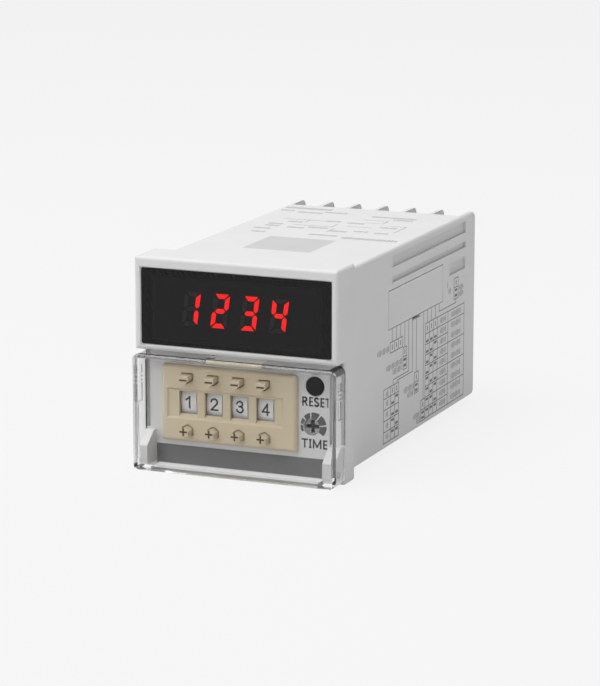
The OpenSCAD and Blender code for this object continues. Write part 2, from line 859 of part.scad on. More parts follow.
module selector_switch() {
    slot_floor = main_x1 + 1;
    color("#9c2f2f") difference() {
        block([main_x1, selector_y - selector_half_y, selector_z - selector_half_z],
              [selector_x1, selector_y + selector_half_y, selector_z + selector_half_z]);
        for (i = [0 : selector_count - 1])
            block([slot_floor, lever_y(i) - lever_w / 2 - 0.15, selector_z - lever_slot_h / 2],
                  [selector_x1 + over, lever_y(i) + lever_w / 2 + 0.15, selector_z + lever_slot_h / 2]);
    }
}

module selector_lever(i) {
    lever_rise = 0.8;
    rest_z = selector_z - lever_travel / 2;
    color("#f0f0f0")
        block([main_x1 + 1.15, lever_y(i) - lever_w / 2, rest_z - lever_h / 2],
              [selector_x1 + lever_rise, lever_y(i) + lever_w / 2, rest_z + lever_h / 2]);
}

module selector_cover() {
    color(light_grey)
        block([case_half - plate_t, selector_y - plate_half_y + plate_gap,
               selector_z - plate_half_z + plate_gap],
              [case_half, selector_y + plate_half_y - plate_gap,
               selector_z + plate_half_z - plate_gap]);
}

// Rear outline of a barrier, rounded at its outer corner
module barrier_outline() {
    tip_round = 1.8;
    intersection() {
        soft_rect([case_len - 3 * tip_round, boss_z - 3 * tip_round], [case_end, case_half], tip_round);
        translate([case_len + slack, boss_z - slack])
            square([guard_len - slack, case_half - boss_z + slack]);
    }
}

module terminal_block() {
    side_x = case_in - slack;
    color(light_grey) difference() {
        union() {
            block([-side_x, block_y, -side_x], [side_x, case_len, side_x]);
            block([-side_x, case_len - slack, -boss_z], [side_x, boss_y, boss_z]);
            for (side = [0, 1]) mirror([0, 0, side]) for (i = [1 : bay_count - 1])
                translate([bay_x(i) - bay_pitch / 2, 0, 0]) {
                    along_x(-barrier_t / 2, barrier_t / 2) barrier_outline();
                    block([-barrier_t / 2, case_len - slack, boss_z - slack],
                          [barrier_t / 2, case_len + 2 * slack, side_x]);
                }
        }
        terminals() {
            rod_y(screw_r + slack, case_len + tag_t - screw_len - play, case_len + over, 0, bay_z);
            block([-tail_w / 2 - slack, block_y - over, tag_z0 - slack],
                  [tail_w / 2 + slack, case_len + over, tag_z0 + tag_t + slack]);
        }
    }
}

module terminal_plates() {
    tail_y = block_y - tail_len;
    color("#c8c2a8") terminals() difference() {
        union() {
            block([-tag_w / 2, case_len, tag_z0], [tag_w / 2, case_len + tag_t, tag_z1]);
            block([-tail_w / 2, tail_y, tag_z0], [tail_w / 2, case_len + slack, tag_z0 + tag_t]);
        }
        rod_y(screw_r + running, case_len - over, case_len + tag_t + over, 0, bay_z);
    }
}

module terminal_screws() {
    seat = case_len + tag_t;
    slot_w = 0.8;
    slot_depth = 1;
    color("#c4c4c6") terminals() difference() {
        union() {
            rod_y(screw_r, seat - screw_len, seat + slack, 0, bay_z);
            block([-head_r, seat, bay_z - head_r], [head_r, seat + washer_t, bay_z + head_r]);
            rod_y(head_r, seat + washer_t - slack, seat + washer_t + head_t, 0, bay_z);
        }
        for (arm = [[head_r * 0.7, slot_w / 2], [slot_w / 2, head_r * 0.7]])
            block([-arm[0], seat + washer_t + head_t - slot_depth, bay_z - arm[1]],
                  [arm[0], seat + washer_t + head_t + over, bay_z + arm[1]]);
    }
}

rear_case();
front_bezel();
display_window();
display_module();
lit_segments();
dark_segments();
display_board();
switch_frame();
wheel_axle();
switch_board();
for (i = [0 : wheel_count - 1]) {
    digit_wheel(i);
    push_button(i, 0);
    push_button(i, 1);
}
reset_button();
reset_switch();
time_dial();
trimmer_body();
front_cover();
main_board();
board_header();
processor_chip();
power_board();
transformer_core();
transformer_bobbin();
relay();
capacitors();
selector_switch();
for (i = [0 : selector_count - 1])
    selector_lever(i);
selector_cover();
terminal_block();
terminal_plates();
terminal_screws();
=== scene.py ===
# Panel counter with a hinged clear cover: finishes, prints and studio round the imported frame

import json
import math

import bpy
from mathutils import Matrix, Vector


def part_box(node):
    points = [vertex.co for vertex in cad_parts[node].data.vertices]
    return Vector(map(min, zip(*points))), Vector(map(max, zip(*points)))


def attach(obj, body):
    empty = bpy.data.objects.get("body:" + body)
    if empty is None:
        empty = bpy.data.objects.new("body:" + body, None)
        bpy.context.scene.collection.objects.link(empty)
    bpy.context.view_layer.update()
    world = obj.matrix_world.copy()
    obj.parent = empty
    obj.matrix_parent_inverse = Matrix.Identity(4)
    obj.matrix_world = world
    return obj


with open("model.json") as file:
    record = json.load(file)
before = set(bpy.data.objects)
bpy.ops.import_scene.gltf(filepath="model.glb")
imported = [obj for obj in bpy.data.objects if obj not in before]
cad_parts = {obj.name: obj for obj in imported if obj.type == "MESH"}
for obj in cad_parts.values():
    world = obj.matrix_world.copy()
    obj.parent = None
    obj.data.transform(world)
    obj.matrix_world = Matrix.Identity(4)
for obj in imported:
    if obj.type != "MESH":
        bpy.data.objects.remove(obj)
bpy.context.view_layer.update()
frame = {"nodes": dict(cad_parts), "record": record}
nodes = frame["nodes"]
mm = 0.001
print("frame loaded:", len(nodes), "nodes")


def hexColour(code):  # sRGB hex to linear
    channels = [int(code[i:i + 2], 16) / 255 for i in (1, 3, 5)]
    return [c / 12.92 if c <= 0.04045 else ((c + 0.055) / 1.055) ** 2.4 for c in channels] + [1.0]


def addNode(tree, kind, settings=(), links=()):  # a key is a socket or a setting of the node
    node = tree.nodes.new(kind)
    for key, value in dict(settings).items():
        if isinstance(key, int) or key in node.inputs:
            node.inputs[key].default_value = value
        else:
            setattr(node, key, value)
    for key, socket in dict(links).items():
        tree.links.new(socket, node.inputs[key])
    return node


def startMaterial(name):
    material = bpy.data.materials.new(name)
    material.use_nodes = True
    material.node_tree.nodes.clear()
    place = addNode(material.node_tree, "ShaderNodeTexCoord").outputs["Object"]
    return material, material.node_tree, place


def closeMaterial(tree, shader):
    addNode(tree, "ShaderNodeOutputMaterial", links={"Surface": shader})


# Sizes of the patterns below are in millimetres, and a spread is how far the roughness goes either way
mould = {"ior": 1.5, "spread": 0.04, "depth": 0.02}


def mouldedPlastic(name, look):
    # Spark-eroded tool: even colour with faint flow clouds, and a grain that breaks up the gloss
    # The grain is drawn coarser than the tool's own, so that it shows
    material, tree, place = startMaterial(name)
    grain = addNode(tree, "ShaderNodeTexNoise", {"Scale": 1 / (look["grain"] * mm), "Detail": 2.0},
                    {"Vector": place})
    cloud = addNode(tree, "ShaderNodeTexNoise", {"Scale": 1 / (look["cloud"] * mm), "Detail": 1.0},
                    {"Vector": place})
    tone = addNode(tree, "ShaderNodeMix",
                   {"data_type": "RGBA", 6: hexColour(look["dark"]), 7: hexColour(look["light"])},
                   {"Factor": cloud.outputs["Fac"]})
    gloss = addNode(tree, "ShaderNodeMapRange",
                    {"To Min": look["rough"] - mould["spread"], "To Max": look["rough"] + mould["spread"]},
                    {"Value": grain.outputs["Fac"]})
    bump = addNode(tree, "ShaderNodeBump", {"Strength": look["bump"], "Distance": mould["depth"] * mm},
                   {"Height": grain.outputs["Fac"]})
    shader = addNode(tree, "ShaderNodeBsdfPrincipled", {"IOR": mould["ior"]},
                     {"Base Color": tone.outputs[2], "Roughness": gloss.outputs["Result"],
                      "Normal": bump.outputs["Normal"]})
    closeMaterial(tree, shader.outputs["BSDF"])
    return material


drawn = {"spread": 0.08, "bump": 0.15, "depth": 0.01}


def metal(name, look):
    # Drawn or turned metal: fine lines along the work, seen as streaks in the gloss
    material, tree, place = startMaterial(name)
    along = addNode(tree, "ShaderNodeMapping", {"Scale": look["stretch"]}, {"Vector": place})
    lines = addNode(tree, "ShaderNodeTexNoise", {"Scale": 1 / (look["grain"] * mm), "Detail": 3.0},
                    {"Vector": along.outputs["Vector"]})
    tone = addNode(tree, "ShaderNodeMix",
                   {"data_type": "RGBA", 6: hexColour(look["dark"]), 7: hexColour(look["light"])},
                   {"Factor": lines.outputs["Fac"]})
    gloss = addNode(tree, "ShaderNodeMapRange",
                    {"To Min": look["rough"] - drawn["spread"], "To Max": look["rough"] + drawn["spread"]},
                    {"Value": lines.outputs["Fac"]})
    bump = addNode(tree, "ShaderNodeBump", {"Strength": drawn["bump"], "Distance": drawn["depth"] * mm},
                   {"Height": lines.outputs["Fac"]})
    shader = addNode(tree, "ShaderNodeBsdfPrincipled", {"Metallic": 1.0},
                     {"Base Color": tone.outputs[2], "Roughness": gloss.outputs["Result"],
                      "Normal": bump.outputs["Normal"]})
    closeMaterial(tree, shader.outputs["BSDF"])
    return material


sinkDepth = 0.05


def clearPlastic(name, look):
    # Cast or moulded against polished steel: sharp reflections, slight sink waves, lamps shine through
    material, tree, place = startMaterial(name)
    waves = addNode(tree, "ShaderNodeTexNoise", {"Scale": 1 / (look["wave"] * mm), "Detail": 1.0},
                    {"Vector": place})
    bump = addNode(tree, "ShaderNodeBump", {"Strength": look["bump"], "Distance": sinkDepth * mm},
                   {"Height": waves.outputs["Fac"]})
    shader = addNode(tree, "ShaderNodeBsdfPrincipled",
                     {"Base Color": hexColour(look["tint"]), "Transmission Weight": 1.0,
                      "Roughness": look["rough"], "IOR": look["ior"]}, {"Normal": bump.outputs["Normal"]})
    through = addNode(tree, "ShaderNodeBsdfTransparent", {"Color": hexColour(look["tint"])})
    path = addNode(tree, "ShaderNodeLightPath")
    both = addNode(tree, "ShaderNodeMixShader",
                   links={0: path.outputs["Is Shadow Ray"], 1: shader.outputs["BSDF"],
                          2: through.outputs["BSDF"]})
    closeMaterial(tree, both.outputs["Shader"])
    return material


def litDiffuser(name, look):
    # Frosted epoxy lit from behind by a diode: even red glow, a little brighter in the middle of the clouds
    material, tree, place = startMaterial(name)
    cloud = addNode(tree, "ShaderNodeTexNoise", {"Scale": 1 / (look["cloud"] * mm), "Detail": 1.0},
                    {"Vector": place})
    tone = addNode(tree, "ShaderNodeMix",
                   {"data_type": "RGBA", 6: hexColour(look["dark"]), 7: hexColour(look["light"])},
                   {"Factor": cloud.outputs["Fac"]})
    shader = addNode(tree, "ShaderNodeBsdfPrincipled",
                     {"Roughness": look["rough"], "Emission Strength": look["glow"]},
                     {"Base Color": tone.outputs[2], "Emission Color": tone.outputs[2]})
    closeMaterial(tree, shader.outputs["BSDF"])
    return material


stripes = {"bump": 0.4, "depth": 0.03, "wavePitch": math.pi / 10}  # pitch of a wave texture at a scale of 1


def stripedPlate(name, look):
    # Layers or tracks side by side: a fine stripe of the two colours, with a step in height between them
    material, tree, place = startMaterial(name)
    stripe = addNode(tree, "ShaderNodeTexWave",
                     {"bands_direction": look["across"], "Scale": stripes["wavePitch"] / (look["pitch"] * mm),
                      "Distortion": look["wander"], "Detail": 0.0}, {"Vector": place})
    tone = addNode(tree, "ShaderNodeMix",
                   {"data_type": "RGBA", 6: hexColour(look["dark"]), 7: hexColour(look["light"])},
                   {"Factor": stripe.outputs["Fac"]})
    bump = addNode(tree, "ShaderNodeBump", {"Strength": stripes["bump"], "Distance": stripes["depth"] * mm},
                   {"Height": stripe.outputs["Fac"]})
    shader = addNode(tree, "ShaderNodeBsdfPrincipled",
                     {"Metallic": look["metallic"], "Roughness": look["rough"]},
                     {"Base Color": tone.outputs[2], "Normal": bump.outputs["Normal"]})
    closeMaterial(tree, shader.outputs["BSDF"])
    return material


finishes = {
    "housing_grey": (
        mouldedPlastic, "greyMouldedAbs",  # pale case with a soft, even sheen
        {"dark": "#d9d9d9", "light": "#dfdfdf", "rough": 0.5, "grain": 0.25, "cloud": 12, "bump": 0.12}),
    "smoked_window": (
        clearPlastic, "smokedAcrylic",  # dark sheet that the lit segments shine through
        {"tint": "#6c6c6c", "rough": 0.02, "ior": 1.33, "wave": 20, "bump": 0.02}),
    "display_black": (
        mouldedPlastic, "blackDisplayEpoxy",  # dead black round the segments
        {"dark": "#040404", "light": "#060606", "rough": 0.6, "grain": 0.2, "cloud": 5, "bump": 0.1}),
    "lit_red": (
        litDiffuser, "litRedEpoxy",  # saturated red that stays red through the smoked sheet
        {"dark": "#fb0e0e", "light": "#ff1212", "rough": 0.5, "cloud": 2, "glow": 7.5}),
    "unlit_grey": (
        mouldedPlastic, "unlitEpoxy",  # milky bars, just seen through the smoked sheet
        {"dark": "#a5a5a5", "light": "#b4b4b4", "rough": 0.5, "grain": 0.15, "cloud": 2, "bump": 0.05}),
    "circuit_board": (
        stripedPlate, "solderMaskedBoard",  # green lacquer with tracks that show as wavy ridges
        {"dark": "#1f5a38", "light": "#2f7a4c", "across": "Z", "pitch": 1.2, "wander": 3.0,
         "metallic": 0.0, "rough": 0.35}),
    "switch_beige": (
        mouldedPlastic, "beigeMouldedAbs",  # warm and a little dull
        {"dark": "#d7c9ae", "light": "#dcceb3", "rough": 0.48, "grain": 0.2, "cloud": 8, "bump": 0.1}),
    "steel": (
        metal, "groundSteel",  # bright, with fine lines along the axle
        {"dark": "#a8a8aa", "light": "#c6c6c8", "rough": 0.28, "grain": 0.1, "stretch": (0.1, 1, 1)}),
    "wheel_white": (
        mouldedPlastic, "whiteAcetal",  # waxy white drums
        {"dark": "#f6f6f9", "light": "#fafafd", "rough": 0.4, "grain": 0.15, "cloud": 4, "bump": 0.05}),
    "reset_black": (
        mouldedPlastic, "blackMouldedAbs",  # near black, with a dull face
        {"dark": "#232323", "light": "#282828", "rough": 0.45, "grain": 0.15, "cloud": 3, "bump": 0.1}),
    "component_black": (
        mouldedPlastic, "mouldedEpoxy",  # charcoal with a gritty face
        {"dark": "#1b1b1c", "light": "#262627", "rough": 0.55, "grain": 0.12, "cloud": 3, "bump": 0.15}),
    "dial_grey": (
        mouldedPlastic, "greyNylon",  # mid grey, smoother than the case
        {"dark": "#acacae", "light": "#b6b6b8", "rough": 0.42, "grain": 0.12, "cloud": 2, "bump": 0.08}),
    "trimmer_blue": (
        mouldedPlastic, "bluePolyester",  # deep blue body behind the dial
        {"dark": "#2c4a78", "light": "#35568a", "rough": 0.45, "grain": 0.15, "cloud": 3, "bump": 0.1}),
    "clear_cover": (
        clearPlastic, "clearPolycarbonate",  # glass clear, with dark lines along its edges
        {"tint": "#fbfbfb", "rough": 0.0, "ior": 1.585, "wave": 30, "bump": 0.01}),
    "core_steel": (
        stripedPlate, "stackedLaminations",  # dark grey edges of thin sheets
        {"dark": "#4c4d50", "light": "#7b7d80", "across": "Y", "pitch": 0.5, "wander": 0.2,
         "metallic": 1.0, "rough": 0.45}),
    "bobbin_yellow": (
        stripedPlate, "windingTape",  # glossy yellow turns that overlap
        {"dark": "#b8922c", "light": "#d2ac3e", "across": "Z", "pitch": 3.0, "wander": 0.1,
         "metallic": 0.0, "rough": 0.35}),
    "relay_blue": (
        mouldedPlastic, "bluePolyamide",  # mid blue box with a slight gloss
        {"dark": "#2f628f", "light": "#386fa0", "rough": 0.4, "grain": 0.2, "cloud": 5, "bump": 0.1}),
    "capacitor_sleeve": (
        mouldedPlastic, "shrunkSleeve",  # glossy dark film, slightly uneven from the heat
        {"dark": "#2a2d33", "light": "#363a41", "rough": 0.3, "grain": 0.6, "cloud": 4, "bump": 0.05}),
    "selector_red": (
        mouldedPlastic, "redPolyester",  # brick red body of the small levers
        {"dark": "#93292a", "light": "#a23132", "rough": 0.45, "grain": 0.15, "cloud": 4, "bump": 0.1}),
    "lever_white": (
        mouldedPlastic, "whiteNylon",  # milky white tips
        {"dark": "#e4e4e2", "light": "#ececea", "rough": 0.4, "grain": 0.1, "cloud": 1, "bump": 0.05}),
    "terminal_brass": (
        metal, "tinnedBrass",  # silvery, with a warm trace of the brass
        {"dark": "#b9b4a0", "light": "#d3cfbe", "rough": 0.35, "grain": 0.15, "stretch": (1, 1, 0.15)}),
    "screw_steel": (
        metal, "zincPlatedSteel",  # cool and bright, turned along the screw
        {"dark": "#adb0b4", "light": "#cfd1d4", "rough": 0.3, "grain": 0.12, "stretch": (1, 0.2, 1)}),
}
for part in frame["record"]["subparts"]:
    make, name, look = finishes[part["material_slot"]]
    material = bpy.data.materials.get(name) or make(name, look)
    for slot in nodes[part["node"]].material_slots:
        slot.material = material
print("finishes set:", len(finishes))

inks = {  # screen-printed ink dries flat and dull, so a field of it has almost no grain
    "stripInk": {"dark": "#757575", "light": "#7c7c7c", "rough": 0.5, "grain": 0.2, "cloud": 6, "bump": 0.03},
    "legendInk": {"dark": "#585858", "light": "#606060", "rough": 0.5, "grain": 0.15, "cloud": 2, "bump": 0.03},
    "ringInk": {"dark": "#666667", "light": "#6e6e6f", "rough": 0.5, "grain": 0.15, "cloud": 2, "bump": 0.03},
    # the digits' ink also serves as painted shade on the floor of the dial's slot
    "digitInkAndSlotShade": {"dark": "#4e5050", "light": "#565858", "rough": 0.5, "grain": 0.15, "cloud": 2, "bump": 0.03},
    "signInk": {"dark": "#544838", "light": "#5e5140", "rough": 0.6, "grain": 0.15, "cloud": 1, "bump": 0.03},
    "tableInk": {"dark": "#5e5e5e", "light": "#686868", "rough": 0.5, "grain": 0.2, "cloud": 4, "bump": 0.03},
    "wordInk": {"dark": "#787876", "light": "#828280", "rough": 0.5, "grain": 0.4, "cloud": 1, "bump": 0.03},
    "paleInk": {"dark": "#949492", "light": "#9e9e9c", "rough": 0.5, "grain": 0.4, "cloud": 1, "bump": 0.03},
    # painted shade: a darker, rougher sheet for the grooves' floors, and a smooth film that is a shade darker
    # than the case
    "paintedGrooveShade": {"dark": "#d2d2d2", "light": "#d7d7d7", "rough": 0.65, "grain": 0.3, "cloud": 8, "bump": 0.25},
    "labelFilm": {"dark": "#bdbdbd", "light": "#c3c3c3", "rough": 0.4, "grain": 0.2, "cloud": 8, "bump": 0.05},
}
inkMaterials = {name: mouldedPlastic(name, look) for name, look in inks.items()}
inkDepth = 0.02 * mm
quarterTurn = math.radians(90)
sheetTurn = {  # a flat sheet's X and Y, laid on a face of the object
    "front": (quarterTurn, 0, 0),  # X to the right, Y up
    "right": (quarterTurn, 0, quarterTurn),  # X to the rear, Y up
    "left": (quarterTurn, 0, -quarterTurn),  # X to the front, Y up
    "top": (0, 0, 0),
}


def freshStart():
    if bpy.context.object and bpy.context.object.mode != "OBJECT":
        bpy.ops.object.mode_set(mode="OBJECT")
    bpy.ops.object.select_all(action="DESELECT")


def pick(piece):
    freshStart()
    piece.select_set(True)
    bpy.context.view_layer.objects.active = piece


def startSheet(name):  # an empty mesh in edit mode, at the origin
    freshStart()
    bpy.ops.mesh.primitive_plane_add(size=mm, enter_editmode=True)
    bpy.context.object.name = name
    bpy.ops.mesh.delete(type="VERT")
    return bpy.context.object


def addBar(x, y, width, height):  # a rectangle on the open sheet, by its centre, in millimetres
    centre = (x * mm, y * mm, 0)
    bpy.ops.mesh.primitive_plane_add(size=mm, location=centre)
    bpy.ops.transform.resize(value=(width, height, 1), center_override=centre)


def addField(left, right, low, high):  # a rectangle by its edges
    addBar((left + right) / 2, (low + high) / 2, right - left, high - low)


def addCross(arm, width):  # a bar across, with a stub above and below
    addBar(0, 0, arm, width)
    stub = (arm - width) / 2
    for side in (-1, 1):
        addBar(0, side * (width + stub) / 2, width, stub)


def addStroke(start, end, width):  # a straight stroke at any slant, with square ends past its two points
    x, y = (start[0] + end[0]) / 2, (start[1] + end[1]) / 2
    across, up = end[0] - start[0], end[1] - start[1]
    addBar(x, y, math.hypot(across, up) + width, width)
    bpy.ops.transform.rotate(value=-math.atan2(up, across), orient_axis="Z",
                             center_override=(x * mm, y * mm, 0))


def addPath(points, width):  # strokes from point to point
    for start, end in zip(points, points[1:]):
        addStroke(start, end, width)


def applyModifier(piece, kind, **settings):
    modifier = piece.modifiers.new(kind.title(), kind)
    for key, value in settings.items():
        setattr(modifier, key, value)
    bpy.ops.object.modifier_apply(modifier=modifier.name)


def settle(piece, turn, place):  # turns and moves the mesh, and leaves the object at the origin
    pick(piece)
    piece.rotation_euler = turn
    piece.location = place
    bpy.ops.object.transform_apply(location=True, rotation=True, scale=True)


def faceUp(piece):  # turns over the faces of a flat sheet that look down
    bpy.ops.object.mode_set(mode="EDIT")
    bpy.ops.mesh.select_mode(type="FACE")
    bpy.ops.mesh.select_all(action="DESELECT")
    bpy.ops.object.mode_set(mode="OBJECT")
    for face in piece.data.polygons:
        face.select = face.normal.z < 0
    bpy.ops.object.mode_set(mode="EDIT")
    bpy.ops.mesh.flip_normals()
    bpy.ops.mesh.select_mode(type="VERT")
    bpy.ops.object.mode_set(mode="OBJECT")


def closeSheet(piece, face, place, ink, body):  # gives the print its thickness and lays it on its face
    pick(piece)
    faceUp(piece)
    applyModifier(piece, "SOLIDIFY", thickness=inkDepth, offset=1)
    settle(piece, sheetTurn[face], place)
    piece.data.materials.clear()
    piece.data.materials.append(inkMaterials[ink])
    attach(piece, body)


roundBar = {"sides": 64, "length": 2}  # length in millimetres


def cutRound(piece, operation, radius, place):  # keeps or takes away what lies in a round bar along Y
    freshStart()
    bpy.ops.mesh.primitive_cylinder_add(vertices=roundBar["sides"], radius=radius * mm,
                                        depth=roundBar["length"] * mm, location=place,
                                        rotation=(quarterTurn, 0, 0))
    tool = bpy.context.object
    pick(piece)
    applyModifier(piece, "BOOLEAN", operation=operation, object=tool)
    bpy.data.objects.remove(tool)


glyphs = {  # middle lines of the strokes, on a field one wide and one high
    "R": [[(0, 0), (0, 1), (0.6, 1), (0.94, 0.88), (0.94, 0.64), (0.6, 0.5), (0, 0.5)],
          [(0.45, 0.5), (1.05, 0)]],
    "E": [[(1, 1), (0, 1), (0, 0), (1, 0)], [(0, 0.5), (0.9, 0.5)]],
    "S": [[(0.95, 0.88), (0.7, 1), (0.3, 1), (0, 0.86), (0, 0.68), (0.25, 0.55), (0.75, 0.42), (1, 0.3),
           (1, 0.15), (0.7, 0), (0.3, 0), (0.02, 0.12)]],
    "T": [[(0, 1), (1, 1)], [(0.5, 1), (0.5, 0)]],
    "I": [[(0, 1), (1, 1)], [(0, 0), (1, 0)], [(0.5, 1), (0.5, 0)]],
    "M": [[(0, 0), (0, 1)], [(1, 0), (1, 1)], [(0.04, 0.94), (0.5, 0.1), (0.96, 0.94)]],
    "0": [[(0.3, 1), (0.7, 1), (0.94, 0.82), (1, 0.5), (0.94, 0.18), (0.7, 0), (0.3, 0), (0.06, 0.18),
           (0, 0.5), (0.06, 0.82), (0.3, 1)]],
    "1": [[(0.1, 0.74), (0.62, 1), (0.62, 0)]],
    "2": [[(0, 0.78), (0.1, 0.92), (0.32, 1), (0.62, 1), (0.88, 0.92), (1, 0.76), (0.94, 0.6), (0.72, 0.44),
           (0, 0), (1.02, 0)]],
    "3": [[(0, 0.8), (0.12, 0.93), (0.35, 1), (0.6, 1), (0.84, 0.92), (0.92, 0.78), (0.84, 0.64),
           (0.6, 0.56), (0.4, 0.56)],
          [(0.6, 0.56), (0.88, 0.47), (1, 0.28), (0.9, 0.1), (0.65, 0), (0.38, 0), (0.12, 0.09), (0, 0.23)]],
    "4": [[(0.76, 0), (0.76, 1), (0, 0.28), (1.03, 0.28)]],
    "5": [[(0.92, 1), (0.14, 1), (0.06, 0.54), (0.36, 0.63), (0.66, 0.63), (0.92, 0.5), (1, 0.3),
           (0.88, 0.1), (0.62, 0), (0.35, 0), (0, 0.12)]],
    "6": [[(0.92, 0.86), (0.74, 0.98), (0.5, 1), (0.22, 0.88), (0.04, 0.6), (0.02, 0.25), (0.16, 0.07),
           (0.4, 0), (0.64, 0), (0.9, 0.1), (1, 0.3), (0.9, 0.5), (0.64, 0.6), (0.36, 0.57), (0.06, 0.38)]],
    "7": [[(0, 1), (1, 1), (0.6, 0.48), (0.4, 0)]],
    "8": [[(0.34, 0.54), (0.1, 0.66), (0.08, 0.86), (0.34, 1), (0.66, 1), (0.92, 0.86), (0.9, 0.66),
           (0.66, 0.54), (0.34, 0.54), (0.06, 0.4), (0, 0.2), (0.3, 0), (0.7, 0), (1, 0.2), (0.94, 0.4),
           (0.66, 0.54)]],
    "9": [[(0.08, 0.14), (0.26, 0.02), (0.5, 0), (0.78, 0.12), (0.96, 0.4), (0.98, 0.75), (0.84, 0.93),
           (0.6, 1), (0.36, 1), (0.1, 0.9), (0, 0.7), (0.1, 0.5), (0.36, 0.4), (0.64, 0.43), (0.94, 0.62)]],
}


def addGlyph(sign, left, low, width, height, stroke):  # a letter or a digit on the open sheet, in millimetres
    for path in glyphs[sign]:
        addPath([(left + x * width, low + y * height) for x, y in path], stroke)


plateY = -5.0 * mm  # front of the bezel's lower plate

strip = {"left": -20.7, "right": 20.7, "low": -23.0, "high": -18.5}
sheet = startSheet("printedStrip")
addField(strip["left"], strip["right"], strip["low"], strip["high"])
closeSheet(sheet, "front", (0, plateY, 0), "stripInk", "housing")

legends = [  # each letter with its left edge and its width
    {"name": "resetLegend", "low": -6.77, "height": 1.74, "stroke": 0.36,
     "letters": [("R", 14.25, 0.86), ("E", 15.85, 0.57), ("S", 17.05, 0.78), ("E", 18.5, 0.57),
                 ("T", 19.66, 0.82)]},
    {"name": "timeLegend", "low": -16.07, "height": 1.71, "stroke": 0.36,
     "letters": [("T", 14.09, 1.12), ("I", 15.82, 0.24), ("M", 16.72, 1.66), ("E", 19.12, 0.64)]},
]
for legend in legends:
    sheet = startSheet(legend["name"])
    for letter, left, width in legend["letters"]:
        addGlyph(letter, left, 0, width, legend["height"], legend["stroke"])
    closeSheet(sheet, "front", (0, plateY, legend["low"] * mm), "legendInk", "housing")

dialLow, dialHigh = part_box("time_dial")
dialX, dialZ = (dialLow.x + dialHigh.x) / 2, (dialLow.z + dialHigh.z) / 2
ring = {"radius": 3.05, "offset": (0.57, 0.28), "hole": 1.95, "reach": 4.5, "steps": 16, "merge": 0.001,
        "spans": [(208, 172), (165, 134), (127, 95), (89, 55), (49, 13), (7, -31)]}  # degrees, thin to thick
sheet = startSheet("dialRing")
for first, last in ring["spans"]:  # a wedge is an edge spun about the dial
    turn = math.radians(first)
    outward = Vector((math.cos(turn), math.sin(turn), 0))
    bpy.ops.mesh.primitive_plane_add(size=ring["reach"] * mm, location=outward * ring["reach"] / 2 * mm,
                                     rotation=(0, 0, turn))
    bpy.ops.mesh.bisect(plane_co=(0, 0, 0), plane_no=(-outward.y, outward.x, 0), clear_inner=True,
                        clear_outer=True)
    bpy.ops.mesh.spin(steps=ring["steps"], angle=math.radians(first - last), center=(0, 0, 0), axis=(0, 0, 1))
    bpy.ops.mesh.select_all(action="SELECT")
    bpy.ops.mesh.remove_doubles(threshold=ring["merge"] * mm)
closeSheet(sheet, "front", (dialX, plateY, dialZ), "ringInk", "housing")
aside, above = ring["offset"]  # the outer edge lies off the dial's centre, so the wedges grow
cutRound(sheet, "INTERSECT", ring["radius"], (dialX + aside * mm, plateY, dialZ + above * mm))
cutRound(sheet, "DIFFERENCE", ring["hole"], (dialX, plateY, dialZ))

dialCross = {"arm": 2.9, "width": 0.84, "floor": 0.6}  # painted shade on the floor of the dial's slot
sheet = startSheet("dialCross")
addCross(dialCross["arm"], dialCross["width"])
slotFloor = (dialX, dialLow.y + dialCross["floor"] * mm, dialZ)
closeSheet(sheet, "front", slotFloor, "digitInkAndSlotShade", "time_dial")
print("front prints laid")

wheels = range(1, 5)  # each shows its own number at rest
wheelPrint = {"digits": 10, "width": 1.45, "height": 2.4, "stroke": 0.39, "rows": 8, "rim": 3.6, "ahead": 1}


def turnAbout(centre, angle):  # a turn about the wheels' axle
    return Matrix.Translation(centre) @ Matrix.Rotation(angle, 4, "X") @ Matrix.Translation(-centre)


for wheel in wheels:
    drum = nodes[f"digit_wheel_{wheel}"]
    low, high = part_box(drum.name)
    centre = Vector((low.x + wheelPrint["rim"] / 2 * mm, (low.y + high.y) / 2, (low.z + high.z) / 2))
    digits = []
    for digit in range(wheelPrint["digits"]):
        piece = startSheet(f"drumDigit{wheel}{digit}")
        addGlyph(str(digit), -wheelPrint["width"] / 2, -wheelPrint["height"] / 2, wheelPrint["width"],
                 wheelPrint["height"], wheelPrint["stroke"])
        for row in range(1, wheelPrint["rows"]):  # rows of points, so that the flat digit can follow the drum
            bpy.ops.mesh.select_all(action="SELECT")
            height = (row / wheelPrint["rows"] - 0.5) * wheelPrint["height"] * mm
            bpy.ops.mesh.bisect(plane_co=(0, height, 0), plane_no=(0, 1, 0))
        bpy.ops.object.mode_set(mode="OBJECT")
        settle(piece, sheetTurn["front"], (centre.x, low.y - wheelPrint["ahead"] * mm, centre.z))
        applyModifier(piece, "SHRINKWRAP", target=drum, wrap_method="PROJECT", use_project_y=True,
                      use_negative_direction=True, use_positive_direction=True)
        applyModifier(piece, "SOLIDIFY", thickness=inkDepth, offset=1)
        piece.data.transform(turnAbout(centre, math.tau / wheelPrint["digits"] * (digit - wheel)))
        digits.append(piece)
    pick(digits[0])
    for piece in digits:
        piece.select_set(True)
    bpy.ops.object.join()
    digits[0].name = f"wheelDigits{wheel}"
    digits[0].data.materials.append(inkMaterials["digitInkAndSlotShade"])
    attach(digits[0], drum.name)

signs = {"length": 1.8, "width": 0.4, "reach": 5.8, "inset": 2.225}  # inset from the wheel's left end
for wheel in wheels:
    low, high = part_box(f"digit_wheel_{wheel}")
    signX, signZ = low.x + signs["inset"] * mm, (low.z + high.z) / 2
    for name, side in (("minus", 1), ("plus", -1)):
        sheet = startSheet(f"{name}Sign{wheel}")
        if name == "plus":
            addCross(signs["length"], signs["width"])
        else:
            addBar(0, 0, signs["length"], signs["width"])
        button = f"{name}_button_{wheel}"
        place = (signX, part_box(button)[0].y, signZ + side * signs["reach"] * mm)
        closeSheet(sheet, "front", place, "signInk", button)
print("wheels and buttons printed")

